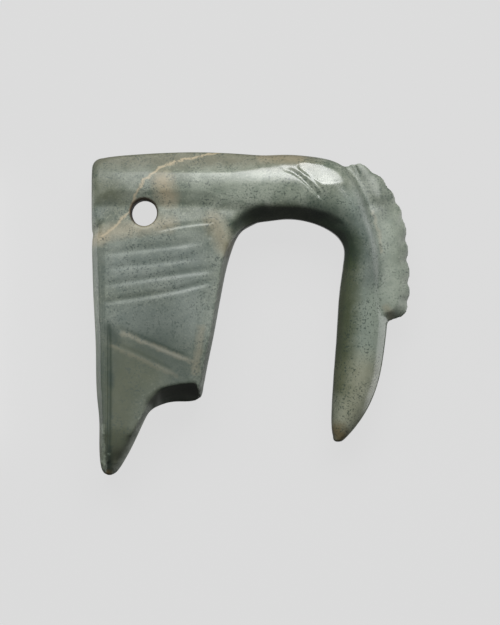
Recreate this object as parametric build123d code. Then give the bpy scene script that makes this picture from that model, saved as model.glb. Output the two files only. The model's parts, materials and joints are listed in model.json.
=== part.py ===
from build123d import *
import math
import os
from collections import namedtuple

# A carved jade pendant, one stone: a bird in profile that lies flat on its plain back.
# X runs across the bird from wing to crest, Y from the tips up to its back, and Z is its front.

# Sizes across the bird
WING_WIDTH = 25.6
ARCH_SPAN = 19.8
HEAD_WIDTH = 7.7
CREST_REACH = 4.2

# Sizes down the bird
NECK_DEPTH = 12.1
WING_LENGTH = 32.8
TAIL_LENGTH = 13.1
BEAK_LENGTH = 40.0

# Thicknesses
STONE_THICKNESS = 12.0
BACK_GROUND_OFF = 1.0
WING_STEP = 0.3
CREST_THICKNESS = 6.0
TAIL_TIP_DROP = 2.6
TAIL_TAPER_LENGTH = 8.5
BAR_END_ROUND = 1.8

# The hole for a cord
HOLE_DIAMETER = 4.7
HOLE_FROM_SIDE = 9.4
HOLE_FROM_TOP = 11.0
HOLE_RIM_WIDTH = 0.4

# Cut lines and crest
FEATHER_CUT_WIDTH = 1.0
FEATHER_CUT_DEPTH = 0.25
DIAGONAL_CUT_WIDTH = 1.2
DIAGONAL_CUT_DEPTH = 0.35
BORDER_CUT_WIDTH = 0.7
BORDER_CUT_DEPTH = 0.15
COLLAR_CUT_WIDTH = 1.3
COLLAR_CUT_DEPTH = 0.35
SCALLOP_RISE = 0.55
EDGE_ROUNDNESS = 2.5
CREST_ROUNDNESS = 1.8

# Derived places
MID_HEIGHT = STONE_THICKNESS / 2
WING_FRONT = STONE_THICKNESS - WING_STEP
ACROSS_SPANS = (WING_WIDTH, ARCH_SPAN, HEAD_WIDTH, CREST_REACH)
WING_SPANS = (NECK_DEPTH, WING_LENGTH, TAIL_LENGTH)
BEAK_SPANS = (NECK_DEPTH, BEAK_LENGTH)


def along(spans, percent):
    """How far a mark lies along a row of spans, with 100 for each whole span."""
    index = min(max(int(percent // 100), 0), len(spans) - 1)
    return sum(spans[:index]) + spans[index] * (percent / 100 - index)


def wing_place(across, down):
    """X and Y of a mark whose down percent follows the neck, the wing and the tail."""
    return along(ACROSS_SPANS, across), -along(WING_SPANS, down)


def beak_place(across, down):
    """X and Y of a mark whose down percent follows the neck and the beak."""
    return along(ACROSS_SPANS, across), -along(BEAK_SPANS, down)


def height(rise, front_half):
    """Z of a level, whose rise is 0 in the middle, 1 at the front and -1 at the rough back."""
    half = front_half if rise > 0 else MID_HEIGHT + BACK_GROUND_OFF
    return MID_HEIGHT + rise * half


def edge_inset(rise, roundness):
    """Share of a rounded edge's width that is lost at a level."""
    return 1 - (1 - abs(rise) ** roundness) ** (1 / roundness)


def closed_curve(points):
    """Face inside one smooth closed curve through the points."""
    return Face(Wire([Edge.make_spline(points, periodic=True)]))


# Wing and tail: the widest outline, half way up, and the edge of the flat front.
# Marks 0 to 100 across are the wing's width; 100 and 200 down are the wing's two ends.
Rim = namedtuple("Rim", "widest_across widest_down front_across front_down")
WING_RIM = [
    Rim(3.5, 101.5, 10, 107.5),
    Rim(0.5, 109, 8.5, 110.5),
    Rim(0, 123, 8.5, 124),
    Rim(0.5, 137, 9, 139),
    Rim(2.5, 171, 10, 171),
    Rim(3.5, 198, 10.5, 198),
    Rim(5, 226, 10.5, 226),
    Rim(6, 286, 10, 285),
    Rim(8, 296, 10.5, 293),
    Rim(11.5, 300, 11.5, 296),
    Rim(16, 298, 12.5, 294.5),
    Rim(19.5, 290.5, 14, 289),
    Rim(29.5, 255.5, 26.5, 256),
    Rim(36.5, 226, 33, 227.5),
    Rim(41.5, 211, 38, 208),
    Rim(48, 204.5, 43.5, 197.5),
    Rim(57.5, 200.5, 56, 191.5),
    Rim(69.5, 200, 67.5, 190.5),
    Rim(75.5, 198, 73, 189.5),
    Rim(77.5, 194, 74.5, 186.5),
    Rim(81, 180, 77, 175.5),
    Rim(85, 165, 80.5, 164),
    Rim(88.5, 150, 83.5, 150),
    Rim(91.5, 137.5, 86, 137.5),
    Rim(94, 128, 87.5, 128),
    Rim(98.5, 116, 90, 118),
    Rim(107.5, 106, 94.5, 111.5),
    Rim(118, 102.5, 98.5, 107.5),
    Rim(125.5, 100, 103, 105),
    Rim(131, 84, 104.5, 102),
    Rim(125.5, 69, 98.5, 102),
    Rim(62, 66, 62, 105),
    Rim(13, 72, 14, 109.5),
]
WING_LEVELS = (-1, -0.97, -0.9, -0.6, 0, 0.6, 0.9, 0.97, 1)


def wing_and_tail():
    """The flat slab of the wing and tail, its edges rounded to the front and the back."""
    sections = []
    for rise in WING_LEVELS:
        inset = edge_inset(rise, EDGE_ROUNDNESS)
        z = height(rise, WING_FRONT - MID_HEIGHT)
        points = []
        for rim in WING_RIM:
            widest = Vector(*wing_place(rim.widest_across, rim.widest_down), z)
            front = Vector(*wing_place(rim.front_across, rim.front_down), z)
            points.append(widest + (front - widest) * inset)
        sections.append(closed_curve(points))
    return loft(sections)


# Bar, neck, head and beak: sections round the arch, from the bar's left end to the beak's tip.
# Each runs from the back of the bird to the inside of the arch. The thickness is a share of
# the half thickness, a squareness of 2 is an ellipse, and the ridge is how far the crown of
# the section leans to the outside, as a share of its half width.
Section = namedtuple("Section", "outer_across outer_down inner_across inner_down thick square ridge")
NECK_SECTIONS = [
    Section(0, 9, 0, 109, 0.97, 2.7, 0),
    Section(16, 6, 16, 108, 1, 2.7, 0),
    Section(30, 3.5, 30, 106, 1, 2.7, 0),
    Section(50, 1, 50, 103.5, 1, 2.7, 0),
    Section(76, 0, 76, 101.5, 1, 2.7, 0),
    Section(110, 3, 110, 101.5, 1, 2.7, 0),
    Section(128, 4.5, 128, 101, 0.99, 2.6, 0),
    Section(145.5, 3.5, 145.5, 100, 0.98, 2.5, 0),
    Section(171, 6.5, 165.5, 101, 0.97, 2.4, 0),
    Section(195, 17, 182, 104, 0.95, 2.2, 0),
    Section(228, 42, 193.5, 108, 0.93, 2.1, 0),
    Section(256, 80.5, 199, 112.5, 0.90, 2, 0),
    Section(279, 107, 199.5, 116.5, 0.87, 2, -0.05),
    Section(292, 119.5, 197.5, 124, 0.84, 1.9, -0.1),
    Section(297.5, 132, 195, 133, 0.80, 1.8, -0.15),
    Section(300, 144.5, 193.5, 143, 0.76, 1.8, -0.2),
    Section(294, 157, 192, 155.5, 0.71, 1.8, -0.2),
    Section(283.5, 169.5, 190, 168, 0.64, 1.8, -0.2),
    Section(262, 182, 188.5, 179.5, 0.55, 1.8, -0.2),
    Section(231, 192, 187.5, 189.5, 0.43, 1.9, -0.1),
    Section(207, 197.5, 188, 195.5, 0.29, 2, 0),
    Section(197, 200, 190.5, 200, 0.14, 2, 0),
]
HALF_SECTION_POINTS = 9
END_STEPS = 4


def rounded_power(value, square):
    """A sine or cosine raised so that a circle becomes a squarer or sharper oval."""
    return math.copysign(abs(value) ** (2 / square), value)


def neck_section(row, shift=0, lost=0):
    """One oval section, as a front and a back curve, moved across and drawn in all round."""
    outer = Vector(*beak_place(row.outer_across, row.outer_down), 0)
    inner = Vector(*beak_place(row.inner_across, row.inner_down), 0)
    middle = (outer + inner) / 2 + Vector(shift, 0, 0)
    half_width = (outer - inner) / 2
    half_width -= half_width.normalized() * lost
    thick = row.thick - lost / MID_HEIGHT
    curves = []
    for face in (1, -1):
        points = []
        for step in range(HALF_SECTION_POINTS):
            angle = math.pi * step / (HALF_SECTION_POINTS - 1)
            side = face * rounded_power(math.cos(angle), row.square)
            rise = face * rounded_power(math.sin(angle), row.square) * thick
            lean = row.ridge * (1 - side**2)
            place = middle + half_width * (side + lean)
            points.append(place + Vector(0, 0, height(rise, MID_HEIGHT)))
        upright = Vector(0, 0, face)
        curves.append(Edge.make_spline(points, tangents=[upright, -upright]))
    return Wire(curves)


def bar_to_beak():
    """The bar along the bird's back, which bends over the arch as neck, head and beak."""
    first = NECK_SECTIONS[0]
    rounded_end = []
    for step in range(END_STEPS + 1):
        angle = math.pi / 2 * (1 - step / END_STEPS)
        shift = BAR_END_ROUND * (1 - math.sin(angle))
        lost = BAR_END_ROUND * (1 - math.cos(angle))
        rounded_end.append(neck_section(first, shift, lost))
    sections = [rounded_end[-1]] + [neck_section(row) for row in NECK_SECTIONS[1:]]
    return Solid.make_loft(rounded_end) + Solid.make_loft(sections)


# Crest: the dips between its scallops, from the back of the neck down to the beak's root, and
# how far the scallop after each dip swells, as a share of the usual rise.
CrestDip = namedtuple("CrestDip", "across down swell")
CREST_DIPS = [
    CrestDip(198, 24, 2.6),
    CrestDip(264, 27.5, 1),
    CrestDip(300, 50, 1),
    CrestDip(334, 72.5, 1),
    CrestDip(365, 97, 1),
    CrestDip(378, 109, 1),
    CrestDip(383, 118, 1),
    CrestDip(389, 128.5, 1),
    CrestDip(386, 137, 1.5),
    CrestDip(347, 144.5, 0),
]
CREST_HIDDEN_EDGE = [
    CrestDip(296, 146.5, 0),
    CrestDip(260, 143.5, 0),
    CrestDip(237, 132, 0),
    CrestDip(228, 109.5, 0),
    CrestDip(202, 72, 0),
    CrestDip(190, 39, 0),
]
CREST_MIDDLE = CrestDip(230, 128.5, 0)
CREST_SLOPE = 0.6
SCALLOP_LEFT_INSIDE = 0.2
CREST_LEVELS = (-1, -0.7, 0, 0.7, 1)


def crest_outline(inset, z):
    """The scalloped outline drawn in towards the head, as a face at height z."""
    middle = Vector(*beak_place(CREST_MIDDLE.across, CREST_MIDDLE.down), z)
    flutes = SCALLOP_LEFT_INSIDE + (1 - SCALLOP_LEFT_INSIDE) * (1 - inset) ** 2

    def drawn_in(dip):
        point = Vector(*beak_place(dip.across, dip.down), z)
        return point + (middle - point) * inset * CREST_SLOPE

    edges = []
    for dip, following in zip(CREST_DIPS, CREST_DIPS[1:]):
        start = drawn_in(dip)
        end = drawn_in(following)
        chord = end - start
        outward = Vector(-chord.Y, chord.X, 0).normalized()
        peak = (start + end) / 2 + outward * SCALLOP_RISE * dip.swell * flutes
        edges.append(Edge.make_three_point_arc(start, peak, end))
    hidden = [CREST_DIPS[-1]] + CREST_HIDDEN_EDGE + [CREST_DIPS[0]]
    for dip, following in zip(hidden, hidden[1:]):
        edges.append(Edge.make_line(drawn_in(dip), drawn_in(following)))
    return Face(Wire(edges))


def crest():
    """The scalloped crest, a plate that thins towards its rim on both faces."""
    sections = []
    for rise in CREST_LEVELS:
        z = MID_HEIGHT + rise * CREST_THICKNESS / 2
        sections.append(crest_outline(edge_inset(rise, CREST_ROUNDNESS), z))
    return loft(sections, ruled=True)


def front_height(stone, x, y):
    """Z of the stone's front above a place."""
    hits = stone.find_intersection_points(Axis((x, y, STONE_THICKNESS * 2), (0, 0, -1)))
    return max(point.Z for point, normal in hits)


def round_cut(places, width, depth):
    """A round-bottomed cut that follows an arc through three places on the stone's front."""
    radius = (width**2 / 4 + depth**2) / (2 * depth)
    start, middle, end = [place + Vector(0, 0, radius - depth) for place in places]
    path = Edge.make_three_point_arc(start, middle, end)
    profile = Plane(origin=start, z_dir=path.tangent_at(0)) * Circle(radius)
    return sweep(profile, path=path)


# Cut lines on the wing: each is an arc through three marks.
Cut = namedtuple("Cut", "start_across start_down middle_across middle_down end_across end_down")
FEATHER_CUTS = [
    Cut(10, 121, 42, 118, 77, 114),
    Cut(12, 129.5, 42, 126.5, 75, 122.5),
    Cut(12, 138, 46, 134.5, 82, 130),
    Cut(11.5, 147, 46, 143, 82, 137),
]
DIAGONAL_CUTS = [
    Cut(13, 160.5, 43, 168, 70.5, 177.5),
    Cut(13, 168, 37, 176, 59.5, 185),
]
BORDER_CUTS = [
    Cut(84, 103, 79.5, 146, 74, 190),
]
COLLAR_CUTS = [
    Cut(144, 22, 168, 50.5, 184, 76),
    Cut(155, 22, 176, 48, 188, 66),
]


def wing_cuts(rows, width, depth):
    """Cuts in the wing's flat front."""
    cutters = []
    for row in rows:
        places = [Vector(*wing_place(*row[i : i + 2]), WING_FRONT) for i in (0, 2, 4)]
        cutters.append(round_cut(places, width, depth))
    return cutters


def collar_cuts(stone):
    """Cuts round the front of the neck, which follow its rounded surface."""
    cutters = []
    for row in COLLAR_CUTS:
        places = []
        for i in (0, 2, 4):
            x, y = beak_place(*row[i : i + 2])
            places.append(Vector(x, y, front_height(stone, x, y)))
        cutters.append(round_cut(places, COLLAR_CUT_WIDTH, COLLAR_CUT_DEPTH))
    return cutters


def tail_taper():
    """What is ground off the tail's front, more and more towards its point."""
    point = -along(WING_SPANS, 300)
    start = Vector(0, point + TAIL_TAPER_LENGTH, WING_FRONT)
    end = Vector(0, point, WING_FRONT - TAIL_TIP_DROP)
    middle = Vector(0, point + TAIL_TAPER_LENGTH / 2, WING_FRONT - TAIL_TIP_DROP * 0.35)
    above = Vector(0, point, STONE_THICKNESS)
    above_start = Vector(0, point + TAIL_TAPER_LENGTH, STONE_THICKNESS)
    edges = [
        Edge.make_three_point_arc(start, middle, end),
        Edge.make_line(end, above),
        Edge.make_line(above, above_start),
        Edge.make_line(above_start, start),
    ]
    return extrude(Face(Wire(edges)), amount=WING_WIDTH, dir=(1, 0, 0))


def cord_hole(stone):
    """The drilled hole for a cord, with its rim eased on both faces."""
    x = HOLE_FROM_SIDE
    y = -HOLE_FROM_TOP
    radius = HOLE_DIAMETER / 2
    front = front_height(stone, x, y - radius)
    drill = Pos(x, y, MID_HEIGHT) * Cylinder(radius, STONE_THICKNESS * 2)
    front_rim = Pos(x, y, front) * Cone(radius, radius + 2 * HOLE_RIM_WIDTH, 2 * HOLE_RIM_WIDTH)
    back_rim = Pos(x, y, 0) * Cone(radius + 2 * HOLE_RIM_WIDTH, radius, 2 * HOLE_RIM_WIDTH)
    return [drill, front_rim, back_rim]


def carved_bird():
    """The whole stone."""
    stone = bar_to_beak() + wing_and_tail() + crest()
    reach = sum(ACROSS_SPANS) + sum(WING_SPANS) + sum(BEAK_SPANS)
    stone -= Pos(0, 0, -reach / 2) * Box(2 * reach, 2 * reach, reach)
    cutters = wing_cuts(FEATHER_CUTS, FEATHER_CUT_WIDTH, FEATHER_CUT_DEPTH)
    cutters += wing_cuts(DIAGONAL_CUTS, DIAGONAL_CUT_WIDTH, DIAGONAL_CUT_DEPTH)
    cutters += wing_cuts(BORDER_CUTS, BORDER_CUT_WIDTH, BORDER_CUT_DEPTH)
    cutters += collar_cuts(stone)
    cutters += [tail_taper()]
    cutters += cord_hole(stone)
    for cutter in cutters:
        stone -= cutter
    to_middle = Pos(-sum(ACROSS_SPANS) / 2, max(sum(WING_SPANS), sum(BEAK_SPANS)) / 2, 0)
    return to_middle * stone


os.makedirs("parts", exist_ok=True)
export_step(carved_bird(), "parts/carved_bird.step")
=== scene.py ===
import bpy
import json
import math
from collections import namedtuple

import numpy as np
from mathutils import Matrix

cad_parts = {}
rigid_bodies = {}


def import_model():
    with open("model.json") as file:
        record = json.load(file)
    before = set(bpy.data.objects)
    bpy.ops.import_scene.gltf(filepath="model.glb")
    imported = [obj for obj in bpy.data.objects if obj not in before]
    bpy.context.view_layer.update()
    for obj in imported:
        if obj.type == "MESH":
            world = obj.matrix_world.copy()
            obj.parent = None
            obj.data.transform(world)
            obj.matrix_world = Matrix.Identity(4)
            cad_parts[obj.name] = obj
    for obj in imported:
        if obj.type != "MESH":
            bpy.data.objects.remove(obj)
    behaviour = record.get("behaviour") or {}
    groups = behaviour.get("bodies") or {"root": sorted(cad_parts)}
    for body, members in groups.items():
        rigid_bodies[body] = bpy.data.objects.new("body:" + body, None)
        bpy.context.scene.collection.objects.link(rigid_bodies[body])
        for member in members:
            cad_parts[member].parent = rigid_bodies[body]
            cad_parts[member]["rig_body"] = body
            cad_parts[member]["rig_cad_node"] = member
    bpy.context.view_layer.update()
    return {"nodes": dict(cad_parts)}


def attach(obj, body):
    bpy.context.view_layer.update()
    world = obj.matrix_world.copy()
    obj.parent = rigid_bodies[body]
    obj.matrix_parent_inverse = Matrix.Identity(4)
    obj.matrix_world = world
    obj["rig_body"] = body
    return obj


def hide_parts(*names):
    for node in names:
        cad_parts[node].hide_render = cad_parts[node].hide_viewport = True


# A carved jade pendant, one stone, lying on its plain back. X runs from the wing to the crest,
# Y up to the bird's back, and Z is its carved front. Places are in millimetres in the packed
# part's frame, and what is handed to Blender is turned to metres.

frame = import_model()

MM = 0.001
# What a place is multiplied by to leave out its height
NO_HEIGHT = (1, 1, 0)

# The stone's heights: the wing's front, the middle, and a height that is clear of it all
FRONT = 11.7
MID_HEIGHT = 6
ABOVE = 14

# How finely it is worked: the size of its faces, how close corners are that get merged, how much
# one smoothing stroke evens out, and how many strokes the polish takes
FACE_SIZE = 0.29
MERGE_DISTANCE = 0.001
STROKE = 0.5
POLISH_STROKES = 2

# The height and the middle of what the photograph shows, in millimetres
FRAME_HEIGHT = 112.5
FRAME_MIDDLE = (-0.27, 0.18)
# The camera's lens and sensor in millimetres, and its clipping in metres
LENS = 250
SENSOR = 36
CLIP_START = 0.01
CLIP_END = 10


def deselect():
    bpy.ops.object.select_all(action="DESELECT")


def only(piece):
    """Selects one object and makes it the active one."""
    deselect()
    piece.select_set(True)
    bpy.context.view_layer.objects.active = piece


def finish_with(piece, kind, **settings):
    """Adds one modifier to the piece and applies it."""
    only(piece)
    modifier = piece.modifiers.new(kind.lower(), kind)
    for name, value in settings.items():
        setattr(modifier, name, value)
    bpy.ops.object.modifier_apply(modifier=modifier.name)


def jade_blank():
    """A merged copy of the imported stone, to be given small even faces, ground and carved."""
    only(frame["nodes"]["carved_bird"])
    bpy.ops.object.duplicate()
    stone = bpy.context.view_layer.objects.active
    stone.name = "polished_bird"
    stone.parent = None
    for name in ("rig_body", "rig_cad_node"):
        del stone[name]
    stone.data.materials.clear()
    bpy.ops.object.mode_set(mode="EDIT")
    bpy.ops.mesh.select_all(action="SELECT")
    bpy.ops.mesh.remove_doubles(threshold=MERGE_DISTANCE * MM)
    bpy.ops.mesh.normals_make_consistent(inside=False)
    bpy.ops.object.mode_set(mode="OBJECT")
    return stone


def places(stone):
    """Where the stone's vertices are, in millimetres."""
    found = np.empty(len(stone.data.vertices) * 3, np.float32)
    stone.data.vertices.foreach_get("co", found)
    return found.reshape(-1, 3) / MM


def move(stone, at):
    """Puts the stone's vertices at new places in millimetres."""
    stone.data.vertices.foreach_set("co", (at * MM).astype(np.float32).ravel())
    stone.data.update()


def choose(stone, chosen):
    """Goes into edit mode with only the chosen vertices selected."""
    only(stone)
    bpy.ops.object.mode_set(mode="EDIT")
    bpy.ops.mesh.select_mode(type="VERT")
    bpy.ops.mesh.select_all(action="DESELECT")
    bpy.ops.object.mode_set(mode="OBJECT")
    stone.data.vertices.foreach_set("select", chosen)
    bpy.ops.object.mode_set(mode="EDIT")


def off_line(points, line):
    """Each point's distance from a line through marks, how far along it, and on which side."""
    marks = np.array(line, float)
    steps = np.linalg.norm(np.diff(marks, axis=0), axis=1)
    best = np.full(len(points), np.inf)
    share = np.zeros(len(points))
    side = np.zeros(len(points))
    for i, (start, end) in enumerate(zip(marks, marks[1:])):
        run = end - start
        offset = points[:, :2] - start
        along = np.clip(offset @ run / (run @ run), 0, 1)
        distance = np.linalg.norm(offset - along[:, None] * run, axis=1)
        nearer = distance < best
        best[nearer] = distance[nearer]
        share[nearer] = (steps[:i].sum() + steps[i] * along[nearer]) / steps.sum()
        side[nearer] = (run[0] * offset[:, 1] - run[1] * offset[:, 0])[nearer]
    return best, share, side


# Places that are rubbed down: the line that is followed, how far from it the stone is rubbed, the
# height below which it is left alone, and the strokes it gets.
Rubbing = namedtuple("Rubbing", "name line reach lowest strokes")
RUBBED_BEFORE_GRINDING = [
    Rubbing("collar", [(6.4, 25.5), (12.0, 21.3)], 3.2, 9, 60),
    Rubbing("crest", [(21.7, 23.1), (24.9, 15.9), (25.8, 5.1)], 2.2, 7, 30),
]
RUBBED_AFTER_GRINDING = [
    Rubbing(
        "under_neck",
        [
            (-4.0, 12.5), (-2.8, 15.4), (-1.3, 17.2), (0.8, 17.9), (8.0, 18.2),
            (11.8, 17.6), (14.3, 15.8), (16.1, 12.5), (17.4, 9.3),
        ],
        1.8, 5, 12,
    ),
    Rubbing("wing_end", [(-18.4, -16.5), (-17.0, -15.2), (-15.2, -14.5), (-12.0, -14.0)], 1.3, 4, 12),
    Rubbing(
        "beak_left", [(16.5, 6.9), (16.1, -1.2), (15.6, -10.2), (15.0, -18.3), (15.0, -21.0)],
        1.5, 3, 25,
    ),
    Rubbing("tail_fall", [(-26.2, -24.2), (-22.2, -24.2)], 2.5, 4, 40),
]


def rub(stone, row):
    """Smooths the front within reach of a row's line."""
    at = places(stone)
    distance, _, _ = off_line(at, row.line)
    choose(stone, (distance < row.reach) & (at[:, 2] > row.lowest))
    bpy.ops.mesh.vertices_smooth(factor=STROKE, repeat=row.strokes)
    bpy.ops.object.mode_set(mode="OBJECT")


# A cutting tool runs through a row of five-cornered sections, each from the edge it starts at on
# the front to the edge it comes out at, then out into the air, up, and back over the start.
Section = namedtuple("Section", "start start_z end end_z")
# How far a tool goes out beyond the edge that it comes out at
AIR = 2


def facet(sections):
    """The outlines of a tool that takes off all that is outside a facet between two edges."""
    outlines = []
    for row in sections:
        start = np.array(row.start, float)
        end = np.array(row.end, float)
        outward = (end - start) / np.linalg.norm(end - start)
        far = end + outward * AIR
        outlines.append(
            [
                (*start, row.start_z),
                (*end, row.end_z),
                (*far, row.end_z),
                (*far, ABOVE),
                (*start, ABOVE),
            ]
        )
    return outlines


def tool(outlines):
    """A tool that runs through five-cornered outlines, extruded from each to the next."""
    deselect()
    bpy.ops.mesh.primitive_circle_add(vertices=len(outlines[0]), radius=MM, fill_type="NGON")
    made = bpy.context.object
    for corner, place in zip(made.data.vertices, outlines[0]):
        corner.co = [value * MM for value in place]
    for previous, outline in zip(outlines, outlines[1:]):
        bpy.ops.object.mode_set(mode="EDIT")
        bpy.ops.mesh.extrude_region_move(TRANSFORM_OT_translate={"value": (0, 0, 0)})
        bpy.ops.object.mode_set(mode="OBJECT")
        # Each new corner still lies where one of the previous outline is, and goes on from there
        for corner in made.data.vertices:
            if corner.select:
                gaps = [math.dist(corner.co / MM, place) for place in previous]
                corner.co = [value * MM for value in outline[gaps.index(min(gaps))]]
    bpy.ops.object.mode_set(mode="EDIT")
    bpy.ops.mesh.select_all(action="SELECT")
    bpy.ops.mesh.quads_convert_to_tris()
    bpy.ops.mesh.normals_make_consistent(inside=False)
    bpy.ops.object.mode_set(mode="OBJECT")
    return made


# A long facet runs along the top of the bird's back.
BACK_FACET = [
    Section((-30.9, 24.8), 11.75, (-30.9, 30.0), 7),
    Section((-3.9, 25.0), 11.75, (-3.9, 30.0), 7.1),
    Section((6.9, 25.6), 11.75, (6.9, 30.0), 7.6),
    Section((30.3, 25.6), 11.75, (30.3, 30.0), 7.6),
]
# Under the bend of the neck the stone is ground to a steep facet that the light doesn't reach.
ARCH_FACET = [
    Section((-4.8, 11.4), 11.65, (-3.7, 11.1), 11.2),
    Section((-4.2, 13.8), 11.6, (-3.0, 13.2), 10.4),
    Section((-3.5, 15.9), 11.5, (-2.1, 14.9), 9.6),
    Section((-2.2, 17.6), 11.4, (-0.8, 15.8), 8.6),
    Section((-0.6, 18.7), 11.4, (0.4, 16.2), 7.8),
    Section((1.5, 19.2), 11.4, (2.2, 16.6), 7.4),
    Section((4.2, 19.3), 11.4, (4.5, 16.9), 7.3),
    Section((8.0, 19.3), 11.4, (8.1, 16.9), 7.3),
    Section((11.2, 18.9), 11.3, (10.9, 16.3), 7.3),
    Section((14.1, 17.9), 11, (12.7, 15.1), 7.3),
    Section((16.3, 16.3), 10.8, (14.3, 13.4), 7.5),
    Section((18.1, 13.4), 10.8, (15.9, 11.4), 8),
    Section((18.6, 9.3), 10.65, (16.6, 8.4), 9),
    Section((18.4, 4.2), 10.6, (16.3, 3.9), 9.6),
]
# The brow, ground flat and turned to the light.
BROW_FACET = [
    Section((8.2, 26.0), 10.65, (8.4, 26.6), 10.45),
    Section((10.5, 24.4), 11.25, (10.7, 26.9), 10.1),
    Section((12.3, 23.3), 11.47, (12.7, 26.9), 9.8),
    Section((14.3, 23.3), 11.42, (14.7, 26.6), 9.9),
    Section((15.9, 23.7), 11.15, (16.1, 26.2), 9.95),
    Section((17.4, 24.2), 10.5, (17.6, 25.5), 9.95),
]
# The end of the wing is undercut beside the tail.
WING_END_FACET = [
    Section((-18.7, -16.0), 11.75, (-18.1, -17.0), 11),
    Section((-17.7, -14.8), 11.75, (-17.2, -16.5), 8.5),
    Section((-16.5, -13.7), 11.75, (-16.2, -16.0), 5.5),
    Section((-15.0, -13.0), 11.75, (-14.9, -15.8), 4.5),
    Section((-12.9, -12.6), 11.75, (-12.9, -15.6), 4.5),
    Section((-11.1, -12.4), 11.75, (-11.1, -15.5), 4.5),
    Section((-9.8, -12.4), 11.75, (-9.5, -15.3), 4.5),
]
# The tail has a bevel down its right side.
TAIL_BEVEL = [
    Section((-18.2, -15.3), 11.8, (-17.3, -15.9), 8.5),
    Section((-19.3, -17.7), 11.7, (-18.4, -18.3), 7.5),
    Section((-21.1, -21.1), 11.5, (-19.8, -21.8), 7.5),
    Section((-23.0, -24.6), 10.7, (-21.4, -25.5), 7),
    Section((-24.8, -27.2), 9.4, (-23.2, -28.2), 5.5),
    Section((-25.6, -29.0), 8.2, (-24.0, -30.1), 4.5),
]
# The tail falls away at its point.
TAIL_POINT = [
    Section((-26.1, -23.8), 11.2, (-26.1, -29.0), 7.8),
    Section((-21.9, -23.8), 11.2, (-21.9, -29.0), 7.8),
]
# The hollow between the bar and the wing: its crisp lower edge, its floor, its upper rim, and how
# deep the floor lies under the wing's front.
HollowSection = namedtuple("HollowSection", "edge floor rim depth")
HOLLOW = [
    HollowSection((-30.9, 12.8), (-30.9, 19.2), (-30.9, 22.2), 0.5),
    HollowSection((-26.4, 13.3), (-26.4, 19.2), (-26.4, 22.2), 0.5),
    HollowSection((-18.3, 14.2), (-18.3, 19.3), (-18.3, 22.2), 0.55),
    HollowSection((-12.9, 15.3), (-12.9, 19.3), (-12.9, 22.2), 0.55),
    HollowSection((-9.3, 15.8), (-9.3, 19.3), (-9.3, 22.2), 0.5),
    HollowSection((-7.1, 16.0), (-7.1, 19.2), (-7.1, 21.9), 0.35),
    HollowSection((-4.6, 16.5), (-4.6, 18.8), (-4.6, 20.8), -0.1),
]
# How far the hollow's edge and rim lie above the wing's front
HOLLOW_EDGE_RISE = 0.02
HOLLOW_RIM_RISE = 0.35


def hollow():
    """The tool for the hollow along the top of the wing."""
    outlines = []
    for row in HOLLOW:
        outlines.append(
            [
                (*row.edge, FRONT + HOLLOW_EDGE_RISE),
                (*row.floor, FRONT - row.depth),
                (*row.rim, FRONT + HOLLOW_RIM_RISE),
                (*row.rim, ABOVE),
                (*row.edge, ABOVE),
            ]
        )
    return outlines


def grind(stone):
    """Cuts the facets off the stone, one tool at a time."""
    facets = (BACK_FACET, ARCH_FACET, BROW_FACET, WING_END_FACET, TAIL_BEVEL, TAIL_POINT)
    for outlines in [facet(sections) for sections in facets] + [hollow()]:
        cutter = tool(outlines)
        finish_with(stone, "BOOLEAN", object=cutter, operation="DIFFERENCE", solver="EXACT")
        bpy.data.objects.remove(cutter)


# Marks cut into the front: the line of the mark's floor, how far it reaches to the left and to the
# right of that line as one walks along it, its depth, and how much of the depth there is at its
# two ends. The full depth is reached at FADE_SHARE of its length from each end.
Groove = namedtuple("Groove", "name line left right depth fade")
FADE_SHARE = 0.15
# Wide and shallow ones, made before the facets are ground. A negative depth is a swelling.
SHAPING = [
    Groove(
        "crest_root", [(16.8, 26.6), (18.1, 24.6), (19.3, 22.6), (20.6, 20.4), (21.7, 17.9)],
        2.8, 0.5, 0.45, (0.8, 0),
    ),
    Groove(
        "crest_rim", [(17.0, 27.4), (19.0, 27.1), (21.0, 25.6), (22.8, 23.1), (24.2, 19.7)],
        2.8, 2.8, -0.6, (0.9, 0),
    ),
    Groove("brow", [(14.8, 25.1), (16.8, 24.0)], 1.8, 1.8, -0.35, (1, 1)),
    Groove("neck_corner", [(-0.3, 18.1), (-2.4, 17.0)], 1.5, 1.5, 0.2, (1, 0.5)),
    Groove("bar_ridge", [(-23.7, 25.6), (-9.3, 25.7), (6.6, 25.8)], 3, 2.9, 0.24, (0, 0.2)),
]
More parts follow.
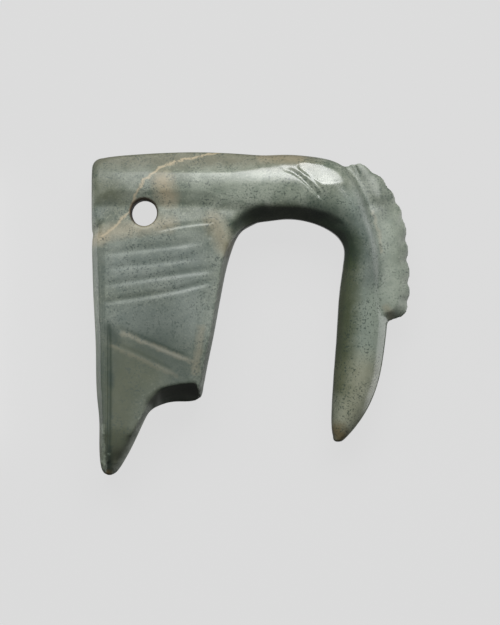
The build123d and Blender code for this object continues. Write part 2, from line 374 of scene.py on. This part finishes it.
# Fine ones, cut after the facets: feathers, slanting strokes, borders, collar and crest.
GROOVES = [
    Groove(
        "feather_1", [(-26.2, 10.6), (-21.9, 11.1), (-17.9, 11.6), (-12.9, 12.2), (-9.1, 12.8)],
        1.3, 0.8, 0.12, (0.3, 0.3),
    ),
    Groove(
        "feather_2", [(-25.6, 7.9), (-21.9, 8.5), (-17.9, 8.9), (-12.9, 9.5), (-9.6, 10.0)],
        1.3, 0.8, 0.1, (0.3, 0.2),
    ),
    Groove(
        "feather_3", [(-25.6, 5.1), (-21.9, 5.7), (-17.0, 6.4), (-12.9, 7.0), (-7.7, 7.7)],
        1.2, 0.8, 0.15, (0.5, 0.5),
    ),
    Groove(
        "feather_4", [(-25.8, 2.0), (-21.9, 2.6), (-17.0, 3.4), (-12.9, 4.2), (-7.7, 5.5)],
        1.1, 0.8, 0.17, (0.5, 0.5),
    ),
    Groove("stroke_1", [(-24.0, -2.6), (-17.4, -5.5), (-10.7, -8.2)], 0.8, 0.8, 0.085, (0.2, 0.3)),
    Groove("stroke_2", [(-25.3, -5.1), (-19.2, -7.7), (-13.5, -10.6)], 0.7, 0.7, 0.035, (0.4, 0.1)),
    Groove(
        "wing_top", [(-16.8, 14.7), (-12.9, 15.5), (-9.3, 16.0), (-7.3, 16.1)],
        1, 0.3, 0.12, (0.2, 0.8),
    ),
    Groove(
        "left_line", [(-26.6, 13.4), (-26.5, 2.4), (-26.2, -12.0), (-26.2, -25.5)],
        0.3, 0.3, 0.12, (0.5, 0.5),
    ),
    Groove(
        "left_channel", [(-25.6, -1.2), (-25.5, -5.7), (-25.5, -15.6), (-25.6, -24.9)],
        0.6, 0.4, 0.3, (0, 0.8),
    ),
    Groove(
        "right_line", [(-7.5, 15.8), (-7.7, 5.1), (-8.5, -4.8), (-9.6, -12.3)],
        0.3, 0.3, 0.08, (0.8, 0.8),
    ),
    Groove(
        "right_strip", [(-8.1, 4.6), (-9.1, -0.4), (-10.1, -5.7), (-10.7, -11.1)],
        0.3, 0.5, 0.07, (0.3, 0.5),
    ),
    Groove(
        "collar_1",
        [(5.8, 25.8), (7.3, 25.3), (8.7, 24.4), (10.2, 23.0), (11.4, 21.7), (12.9, 20.2)],
        1, 0.5, 0.22, (0.3, 0),
    ),
    Groove(
        "collar_2", [(8.4, 26.3), (9.6, 25.3), (11.1, 23.9), (12.3, 22.6), (13.6, 20.6)],
        0.5, 0.5, 0.1, (0.5, 0),
    ),
    Groove("crest_nick_1", [(17.0, 26.4), (17.3, 25.6), (17.7, 24.4)], 0.3, 0.25, 0.2, (0.8, 0)),
    Groove("crest_nick_2", [(18.3, 27.2), (18.7, 26.4), (19.4, 24.9)], 0.35, 0.3, 0.25, (0.8, 0)),
]
# Only what is above this height is carved
CARVED_ABOVE = 5
# Faces are halved as far from a groove's line as it reaches to the left, but no farther than
# this, and a margin more
SPLIT_REACH = 0.5
SPLIT_MARGIN = 0.3


def carve(stone, row):
    """Sinks one mark into the front, with soft shoulders and a round floor."""
    at = places(stone)
    distance, share, side = off_line(at, row.line)
    reach = np.where(side > 0, row.left, row.right)
    wall = np.clip(1 - distance / reach, 0, 1)
    profile = wall * wall * (3 - 2 * wall)
    ends = np.interp(share, (0, FADE_SHARE, 1 - FADE_SHARE, 1), (row.fade[0], 1, 1, row.fade[1]))
    at[:, 2] -= np.where(at[:, 2] > CARVED_ABOVE, row.depth * profile * ends, 0)
    move(stone, at)


def split_near_grooves(stone):
    """Halves the faces beside the fine grooves, so that they come out crisp."""
    at = places(stone)
    near = np.zeros(len(at), bool)
    for row in GROOVES:
        distance, _, _ = off_line(at, row.line)
        near |= distance < min(row.left, SPLIT_REACH) + SPLIT_MARGIN
    choose(stone, near & (at[:, 2] > CARVED_ABOVE))
    bpy.ops.mesh.subdivide(number_cuts=1)
    bpy.ops.object.mode_set(mode="OBJECT")


# The back: the height below which a corner lies on it, and the angle, in degrees, below which
# faces count as one
BACK_HEIGHT = 0.05
FLAT_ANGLE = 1


def join_back(stone):
    """Joins the small faces of the flat back, away from its rim, where no detail is needed."""
    at = places(stone)
    choose(stone, at[:, 2] < BACK_HEIGHT)
    bpy.ops.mesh.select_less()
    bpy.ops.mesh.select_less()
    bpy.ops.mesh.dissolve_limited(angle_limit=math.radians(FLAT_ANGLE))
    bpy.ops.object.mode_set(mode="OBJECT")


# The wing's flat front: how far under it a corner may lie and still be moved to it, the wing's top
# and right side, and the Y where the flatness is gone down the tail and where it is full.
FLATTENED = 0.45
WING_TOP = 13.3
WING_RIGHT = 0
TAIL_FADE = (-21.3, -16.5)


def flatten_front(stone):
    """Makes the wing's front flat, less and less down the tail."""
    at = places(stone)
    wing = (at[:, 2] > FRONT - FLATTENED) & (at[:, 1] < WING_TOP) & (at[:, 0] < WING_RIGHT)
    share = np.interp(at[:, 1], TAIL_FADE, (0, 1))
    at[:, 2] += np.where(wing, share * (FRONT - at[:, 2]), 0)
    move(stone, at)


def carved_bird():
    """The stone: ground from the blank, polished, and carved."""
    stone = jade_blank()
    finish_with(stone, "REMESH", mode="VOXEL", voxel_size=FACE_SIZE * MM)
    flatten_front(stone)
    for row in RUBBED_BEFORE_GRINDING:
        rub(stone, row)
    for row in SHAPING:
        carve(stone, row)
    grind(stone)
    finish_with(stone, "REMESH", mode="VOXEL", voxel_size=FACE_SIZE * MM)
    finish_with(stone, "SMOOTH", factor=STROKE, iterations=POLISH_STROKES)
    for row in RUBBED_AFTER_GRINDING:
        rub(stone, row)
    split_near_grooves(stone)
    for row in GROOVES:
        carve(stone, row)
    join_back(stone)
    only(stone)
    bpy.ops.object.shade_smooth()
    return stone


def linear(hex_colour):
    """An sRGB hex colour as linear red, green, blue and alpha."""
    channels = []
    for place in (1, 3, 5):
        value = int(hex_colour[place : place + 2], 16) / 255
        channels.append(value / 12.92 if value <= 0.04045 else ((value + 0.055) / 1.055) ** 2.4)
    return (*channels, 1)


# How the stone's own colour is mixed, from the broad clouds to the grains: a colour that comes in
# where the noise of that size, in millimetres, passes from one value to the other. The grains of
# such stone are mostly under 0.2 mm, too fine to show here, so all grains are drawn coarser than
# they are, at 0.26 to 0.4 mm.
Layer = namedtuple("Layer", "name colour size detail distortion start full strength")
GREEN_GREY = "#596153"
LAYERS = [
    Layer("clouds", "#80867a", 7, 5, 0.5, 0.38, 0.62, 1),
    Layer("dark_patches", "#505b4e", 1.7, 6, 0.3, 0.5, 0.64, 0.55),
    Layer("pale_patches", "#858c7d", 1.7, 6, 0.3, 0.46, 0.34, 0.35),
    Layer("pale_grains", "#a0a493", 0.4, 3, 0, 0.54, 0.7, 0.35),
    Layer("fine_grains", "#3f4b43", 0.26, 2, 0, 0.5, 0.66, 0.4),
]
# Stains in the stone, and painted shade and painted light: a colour, the line that it follows, how far
# it reaches, and its strength
StainAndPaintedLight = namedtuple("StainAndPaintedLight", "name colour line reach strength")
TAN = "#9c8f75"
WARM_GREY = "#645f4d"
OLIVE = "#4e523b"
DARK_GREEN = "#26352b"
BLUE_GREY = "#6a7574"
PALE_GREEN = "#8b9588"
BROWN = "#65552f"
# Painted rim light: pale on the lit bevels down the right sides of the wing and the tail
PAINTED_RIM_LIGHT = "#b2b9ad"
STAINS_AND_PAINTED_LIGHT = [
    StainAndPaintedLight("warm_back", WARM_GREY, [(-27.3, 27.6), (10.5, 28.0)], 1.8, 0.6),
    StainAndPaintedLight("blue_wing", BLUE_GREY, [(-22.8, 8.2), (-11.4, 9.3), (-12.0, -1.2), (-21.9, -1.5)], 5, 0.45),
    StainAndPaintedLight("blue_beak", BLUE_GREY, [(18.1, 19.5), (21.0, 13.2), (21.3, 2.4), (20.6, -6.6)], 2.4, 0.45),
    StainAndPaintedLight("blue_shoulder", BLUE_GREY, [(-28.2, 17.6), (-25.1, 19.7)], 1, 0.4),
    StainAndPaintedLight("pale_crest", PALE_GREEN, [(24.6, 15.9), (26.0, 6.0), (25.3, -0.3)], 2, 0.45),
    StainAndPaintedLight("pale_beak", PALE_GREEN, [(22.1, 2.4), (21.0, -6.6)], 2.4, 0.65),
    StainAndPaintedLight("warm_beak", "#9c9c86", [(19.9, -10.2), (17.4, -18.8)], 2.8, 0.5),
    StainAndPaintedLight("pale_bar", PALE_GREEN, [(-12.9, 21.5), (6.9, 21.5), (16.8, 19.5)], 1.6, 0.3),
    StainAndPaintedLight("dark_shoulder", DARK_GREEN, [(-27.6, 25.8), (-18.3, 24.8)], 2.4, 0.3),
    StainAndPaintedLight("pale_neck", PALE_GREEN, [(-9.3, 24.4), (5.1, 24.4)], 1.4, 0.2),
    StainAndPaintedLight(
        "dark_panel", DARK_GREEN, [(-12.9, -10.5), (-16.5, -6.9), (-22.9, -8.7), (-24.4, -21.0)],
        5.5, 0.78,
    ),
    StainAndPaintedLight("dark_wing", DARK_GREEN, [(-16.5, 4.2), (-18.3, -3.0)], 5, 0.22),
    StainAndPaintedLight("olive_tail", OLIVE, [(-23.3, -12.9), (-23.3, -18.3), (-25.1, -25.5)], 3.2, 0.6),
    StainAndPaintedLight("olive_wing", OLIVE, [(-24.0, -5.7), (-18.3, -11.1)], 2.6, 0.45),
    StainAndPaintedLight("olive_beak", "#4b5038", [(17.2, 12.3), (16.8, 2.4), (15.6, -12.9)], 2, 0.8),
    StainAndPaintedLight("dark_beak", DARK_GREEN, [(17.2, 14.1), (17.0, 2.4), (15.8, -6.6)], 1.6, 0.25),
    # Painted shade: dark in the shaded channel by the tail's point
    StainAndPaintedLight("painted_shade_tail_point", DARK_GREEN, [(-25.5, -23.8), (-25.6, -27.8)], 0.5, 0.75),
    # Painted light: pale on the lit bevel down the tail's left side
    StainAndPaintedLight("painted_light_tail_left_bevel", PALE_GREEN, [(-26.6, -20.1), (-26.4, -28.2)], 0.3, 0.35),
    # Painted rim light down the tail's right bevel
    StainAndPaintedLight(
        "painted_rim_light_tail", PAINTED_RIM_LIGHT,
        [(-18.3, -17.2), (-20.0, -21.3), (-21.8, -24.9), (-23.8, -27.8)],
        0.65, 0.6,
    ),
    # Painted rim light down the wing's right bevel
    StainAndPaintedLight(
        "painted_rim_light_wing", PAINTED_RIM_LIGHT, [(-4.4, 9.3), (-6.7, -3.0), (-8.4, -12.0), (-9.1, -15.0)],
        0.5, 0.4,
    ),
    StainAndPaintedLight("dark_left_strip", DARK_GREEN, [(-26.9, 11.4), (-26.8, -19.2)], 0.55, 0.4),
    StainAndPaintedLight("green_crest", DARK_GREEN, [(19.9, 25.5), (22.4, 22.2), (23.5, 18.6)], 1.8, 0.3),
    # Painted shade: dark down the channel by the wing's left edge
    StainAndPaintedLight("painted_shade_left_channel", DARK_GREEN, [(-25.4, -2.1), (-25.3, -15.6), (-25.5, -22.8)], 0.4, 0.5),
    # Painted shade: dark on the undercut facet under the wing's end
    StainAndPaintedLight("painted_shade_wing_end", "#2f3323", [(-17.7, -15.8), (-15.8, -14.5), (-10.3, -13.9)], 1.2, 0.7),
    # Painted shade: dark on the facet under the bend of the neck
    StainAndPaintedLight(
        "painted_shade_under_neck", "#38452a", [(-2.8, 15.4), (0.8, 17.9), (8.0, 18.2), (14.3, 15.8), (17.4, 9.3)],
        1.1, 0.6,
    ),
    StainAndPaintedLight("olive_bar", OLIVE, [(-28.0, 22.9), (-25.1, 20.8)], 2.4, 0.55),
    # Painted shade: dark green where the neck curves away at its inner corner
    StainAndPaintedLight("painted_shade_neck_corner", DARK_GREEN, [(12.0, 19.0), (16.3, 15.4), (17.7, 11.4)], 2.3, 0.7),
    # Painted shade: dark where the bend of the neck meets the wing
    StainAndPaintedLight("painted_shade_arch_root", DARK_GREEN, [(-2.8, 15.8), (-1.0, 17.6), (1.9, 18.4)], 1.2, 0.5),
    StainAndPaintedLight("green_spot", DARK_GREEN, [(-25.5, -2.8), (-24.2, -4.6)], 0.9, 0.8),
    StainAndPaintedLight("green_dot", DARK_GREEN, [(-25.3, -10.9), (-25.1, -12.5)], 0.6, 0.8),
    StainAndPaintedLight("tan_right_of_hole", TAN, [(-15.9, 23.7), (-15.0, 20.8)], 1.6, 0.6),
    StainAndPaintedLight("tan_under_hole", TAN, [(-26.6, 14.3), (-18.3, 15.8), (-14.7, 16.1)], 1.3, 0.4),
    StainAndPaintedLight("tan_root", TAN, [(-6.8, 16.5), (-4.6, 12.0)], 1.5, 0.4),
    StainAndPaintedLight("tan_strip", TAN, [(-8.9, -2.6), (-10.0, -10.5)], 0.6, 0.22),
    StainAndPaintedLight("tan_edge", TAN, [(1.9, 28.2), (8.7, 27.8)], 0.9, 0.35),
    StainAndPaintedLight("tan_shoulder", TAN, [(-28.3, 13.0), (-26.6, 13.4)], 0.9, 0.45),
    # Partly the tan of the slanting strokes, partly painted light on their lower walls
    StainAndPaintedLight("tan_and_painted_light_stroke_1", TAN, [(-22.9, -3.6), (-10.7, -8.6)], 0.4, 0.2),
    StainAndPaintedLight("tan_and_painted_light_stroke_2", TAN, [(-25.1, -5.7), (-13.4, -11.1)], 0.35, 0.12),
    StainAndPaintedLight("tan_crest_root", TAN, [(21.7, 18.3), (23.1, 13.6), (23.3, 11.1)], 0.3, 0.2),
    StainAndPaintedLight("tan_crest_end", TAN, [(24.2, 1.0), (25.1, -0.6)], 0.6, 0.3),
    StainAndPaintedLight(
        "vein", "#ab9d82",
        [
            (-5.8, 28.9), (-12.2, 27.6), (-16.6, 26.1), (-19.2, 23.8),
            (-20.4, 22.0), (-21.7, 18.4), (-23.5, 16.5), (-26.6, 13.8),
        ],
        0.2, 0.65,
    ),
    StainAndPaintedLight("brown_tip", BROWN, [(15.4, -21.0), (16.1, -22.1)], 1.3, 0.7),
    StainAndPaintedLight("brown_tail", BROWN, [(-25.8, -28.5), (-25.6, -28.9)], 0.5, 0.8),
]
# A stain, a painted shade or light, or a dull place is full up to the first share of its reach, and
# gone at the second
MARK_FULL = 0.3
MARK_GONE = 1.7
# More millimetres than lie between any two places on the stone
FAR_AWAY = 100.0

# The noises' sizes, in millimetres, how finely each is broken up, and the value in their middle
Noise = namedtuple("Noise", "size detail")
RAGS = Noise(1.1, 4)
CLUSTERS = Noise(3.2, 3)
DARK_GRAINS = Noise(0.36, 2)
WAVES = Noise(2.2, 2)
PITS = Noise(0.3, 2)
NOISE_MIDDLE = (0.5, 0.5, 0.5)

# How far, in millimetres, the rags push a stain's edge about
RAGGEDNESS = 1.2

# The dark grains, which are few between their clusters, and where in the noise each of the two
# begins and is full
DARK_GRAIN = "#2f3c36"
DARK_GRAIN_RANGE = (0.54, 0.64)
DARK_GRAIN_STRENGTH = 0.7
CLUSTER_RANGE = (0.38, 0.55)
BETWEEN_CLUSTERS = 0.1

# The hole, and the dirt that has been rubbed into its wall and over its rim: how far beyond the
# hole it is full, and how far it goes
HOLE = (-19.3, 18.2)
HOLE_RADIUS = 2.35
DIRT = "#3f3122"
DIRT_STRENGTH = 0.85
DIRT_FULL = 0.1
DIRT_GONE = 0.4

# What is left of the grinding under the polish: broad waves and fine pits, in millimetres
WAVE_HEIGHT = 0.05
PIT_HEIGHT = 0.006
BUMP_STRENGTH = 0.5

# Jadeite's refractive index, and how rough its best polish is
JADEITE_IOR = 1.66
POLISH = 0.2
# Where the polish is duller, and how rough it is there
Worn = namedtuple("Worn", "name line reach roughness")
WORN = [
    Worn("wing", [(-29.1, 29.4), (-29.1, -24.6)], 27, 0.64),
    Worn("crest", [(17.7, 27.6), (21.3, 22.6), (24.6, 15.0), (26.0, 4.2)], 3, 0.58),
]


def polished_jadeite():
    """Jadeite ground with wet sand and polished.

    To the eye it is a mottled grey-green stone flecked with dark grains, with a soft, slightly
    waxy shine that is sharp only where the polish has lasted.
    """
    material = bpy.data.materials.new("polished_jadeite")
    material.use_nodes = True
    nodes = material.node_tree.nodes
    nodes.clear()

    def add(kind, inputs=None, out=0, **settings):
        """Adds a node with its settings and links. Sockets go by name or by number."""
        made = nodes.new("ShaderNode" + kind)
        for name, value in settings.items():
            setattr(made, name, value)
        for socket, value in (inputs or {}).items():
            if isinstance(value, bpy.types.NodeSocket):
                material.node_tree.links.new(value, made.inputs[socket])
            else:
                made.inputs[socket].default_value = value
        return made.outputs[out] if made.outputs else made

    metres = add("TexCoord", out="Object")
    at = add("VectorMath", {0: metres, "Scale": 1 / MM}, operation="SCALE")

    # The broad clouds, the patches, the pale grains and the fine ones
    body = linear(GREEN_GREY)
    for row in LAYERS:
        scale = {"Scale": 1 / row.size, "Detail": row.detail, "Distortion": row.distortion}
        spread = {"From Min": row.start, "From Max": row.full, "To Max": row.strength}
        noise = add("TexNoise", {"Vector": at, **scale})
        share = add("MapRange", {"Value": noise, **spread})
        body = add("Mix", {0: share, 6: body, 7: linear(row.colour)}, 2, data_type="RGBA")

    # Stains, painted shade and painted light, with ragged edges, that run straight down through the
    # stone
    rags = {"Vector": at, "Scale": 1 / RAGS.size, "Detail": RAGS.detail}
    ragged = add("TexNoise", rags, "Color")
    ragged = add("VectorMath", {0: ragged, 1: NOISE_MIDDLE}, operation="SUBTRACT")
    ragged = add("VectorMath", {0: ragged, "Scale": RAGGEDNESS}, operation="SCALE")
    seen = add("VectorMath", {0: at, 1: ragged}, operation="ADD")
    seen = add("VectorMath", {0: seen, 1: NO_HEIGHT}, operation="MULTIPLY")

    def near(row):
        """How much of a row's mark there is, from its distance to the line."""
        nearest = FAR_AWAY
        for start, end in zip(row.line, row.line[1:]):
            run = (end[0] - start[0], end[1] - start[1], 0)
            square = run[0] ** 2 + run[1] ** 2
            from_start = add("VectorMath", {0: seen, 1: (*start, 0)}, operation="SUBTRACT")
            part = {0: from_start, 1: [value / square for value in run]}
            along = add("Clamp", {0: add("VectorMath", part, "Value", operation="DOT_PRODUCT")})
            foot = add("VectorMath", {0: run, "Scale": along}, operation="SCALE")
            gap = add("VectorMath", {0: from_start, 1: foot}, "Value", operation="DISTANCE")
            nearest = add("Math", {0: gap, 1: nearest}, operation="MINIMUM")
        spread = {"From Min": row.reach * MARK_GONE, "From Max": row.reach * MARK_FULL}
        return add("MapRange", {"Value": nearest, **spread})

    for row in STAINS_AND_PAINTED_LIGHT:
        share = add("Math", {0: near(row), 1: row.strength}, operation="MULTIPLY")
        body = add("Mix", {0: share, 6: body, 7: linear(row.colour)}, 2, data_type="RGBA")

    # Dark grains, in clusters
    start, full = CLUSTER_RANGE
    spread = {"From Min": start, "From Max": full, "To Min": BETWEEN_CLUSTERS}
    clusters = {"Vector": at, "Scale": 1 / CLUSTERS.size, "Detail": CLUSTERS.detail}
    clusters = add("MapRange", {"Value": add("TexNoise", clusters), **spread})
    start, full = DARK_GRAIN_RANGE
    spread = {"From Min": start, "From Max": full, "To Max": DARK_GRAIN_STRENGTH}
    grains = {"Vector": at, "Scale": 1 / DARK_GRAINS.size, "Detail": DARK_GRAINS.detail}
    grains = add("MapRange", {"Value": add("TexNoise", grains), **spread})
    grains = add("Math", {0: grains, 1: clusters}, operation="MULTIPLY")
    body = add("Mix", {0: grains, 6: body, 7: linear(DARK_GRAIN)}, 2, data_type="RGBA")

    # The dirt in the hole
    across = add("VectorMath", {0: at, 1: (*HOLE, 0)}, operation="SUBTRACT")
    across = add("VectorMath", {0: across, 1: NO_HEIGHT}, operation="MULTIPLY")
    radius = add("VectorMath", {0: across}, "Value", operation="LENGTH")
    ring = {"From Min": HOLE_RADIUS + DIRT_GONE, "From Max": HOLE_RADIUS + DIRT_FULL}
    share = add("MapRange", {"Value": radius, "To Max": DIRT_STRENGTH, **ring})
    body = add("Mix", {0: share, 6: body, 7: linear(DIRT)}, 2, data_type="RGBA")

    # The polish, with what is left of the grinding under it
    rough = POLISH
    for row in WORN:
        rough = add("Mix", {0: near(row), 2: rough, 3: row.roughness}, 0, data_type="FLOAT")
    waves = {"Vector": at, "Scale": 1 / WAVES.size, "Detail": WAVES.detail}
    waves = add("Math", {0: add("TexNoise", waves), 1: WAVE_HEIGHT}, operation="MULTIPLY")
    pits = {"Vector": at, "Scale": 1 / PITS.size, "Detail": PITS.detail}
    heights = {0: add("TexNoise", pits), 1: PIT_HEIGHT, 2: waves}
    height = add("Math", heights, operation="MULTIPLY_ADD")
    bump = add("Bump", {"Height": height, "Distance": MM, "Strength": BUMP_STRENGTH})
    surface = {"Base Color": body, "Roughness": rough, "IOR": JADEITE_IOR, "Normal": bump}
    add("OutputMaterial", {"Surface": add("BsdfPrincipled", surface)})
    return material


# The floor's size in metres, the colour and strength of its own even light, and how little of the
# lamps' light it gives back
FLOOR_SIZE = 4
FLOOR_COLOUR = "#d7d7d7"
FLOOR_GLOW = 1
FLOOR_IN_LAMPLIGHT = "#303030"
NO_SHINE = 0


def pale_floor():
    """The pale card under the stone. Hardly a shadow shows on it, and it doesn't light the stone."""
    deselect()
    bpy.ops.mesh.primitive_plane_add(size=FLOOR_SIZE)
    floor = bpy.context.object
    floor.name = "floor"
    material = bpy.data.materials.new("pale_card")
    material.use_nodes = True
    shader = material.node_tree.nodes["Principled BSDF"].inputs
    shader["Base Color"].default_value = linear(FLOOR_IN_LAMPLIGHT)
    shader["Specular IOR Level"].default_value = NO_SHINE
    shader["Emission Color"].default_value = linear(FLOOR_COLOUR)
    shader["Emission Strength"].default_value = FLOOR_GLOW
    floor.data.materials.append(material)
    floor.visible_diffuse = False
    floor.visible_glossy = False
    floor.visible_shadow = False


# Azimuth 0 is at the bottom of the photograph and 90 at its right. Angles are in degrees and sizes
# in metres. The left card is low and close to the wing's edge, so that the wing keeps its light off
# the beak. What lies under the floor shines through it, since the floor throws no shadow.
Lamp = namedtuple("Lamp", "name azimuth elevation distance width height watts")
LAMPS = [
    Lamp("key", 180, 46, 0.9, 0.9, 0.5, 14.5),
    Lamp("left_card", -90, -6, 0.05, 0.05, 0.012, 0.008),
    Lamp("right_card", 90, -18, 0.6, 0.6, 0.45, 1.5),
    Lamp("under_card", 0, -90, 0.6, 0.5, 0.5, 0.35),
]
WORLD_COLOUR = "#ffffff"
WORLD_STRENGTH = 0.08


def studio_light():
    """Soft boxes round the stone, the key at the top of the photograph."""
    for lamp in LAMPS:
        azimuth = math.radians(lamp.azimuth)
        elevation = math.radians(lamp.elevation)
        flat = lamp.distance * math.cos(elevation)
        place = (
            flat * math.sin(azimuth),
            -flat * math.cos(azimuth),
            lamp.distance * math.sin(elevation) + MID_HEIGHT * MM,
        )
        turn = (math.pi / 2 - elevation, 0, azimuth)
        bpy.ops.object.light_add(type="AREA", location=place, rotation=turn)
        light = bpy.context.object
        light.name = lamp.name
        light.data.shape = "RECTANGLE"
        light.data.size = lamp.width
        light.data.size_y = lamp.height
        light.data.energy = lamp.watts
        light.visible_camera = False
    world = bpy.data.worlds.new("studio")
    bpy.context.scene.world = world
    world.use_nodes = True
    sky = world.node_tree.nodes["Background"].inputs
    sky["Color"].default_value = linear(WORLD_COLOUR)
    sky["Strength"].default_value = WORLD_STRENGTH


def photo_camera():
    """Straight down on the front of the bird, from far enough away for little perspective."""
    distance = FRAME_HEIGHT / 2 * LENS / (SENSOR / 2)
    place = (FRAME_MIDDLE[0] * MM, FRAME_MIDDLE[1] * MM, (MID_HEIGHT + distance) * MM)
    bpy.ops.object.camera_add(location=place, rotation=(0, 0, 0))
    camera = bpy.context.object
    camera.name = "photo_camera"
    camera.data.lens = LENS
    camera.data.sensor_width = SENSOR
    camera.data.sensor_fit = "AUTO"
    camera.data.clip_start = CLIP_START
    camera.data.clip_end = CLIP_END
    bpy.context.scene.camera = camera


bird = carved_bird()
bird.data.materials.append(polished_jadeite())
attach(bird, "root")
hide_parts("carved_bird")

pale_floor()
studio_light()
photo_camera()
bpy.context.scene.view_settings.view_transform = "Standard"
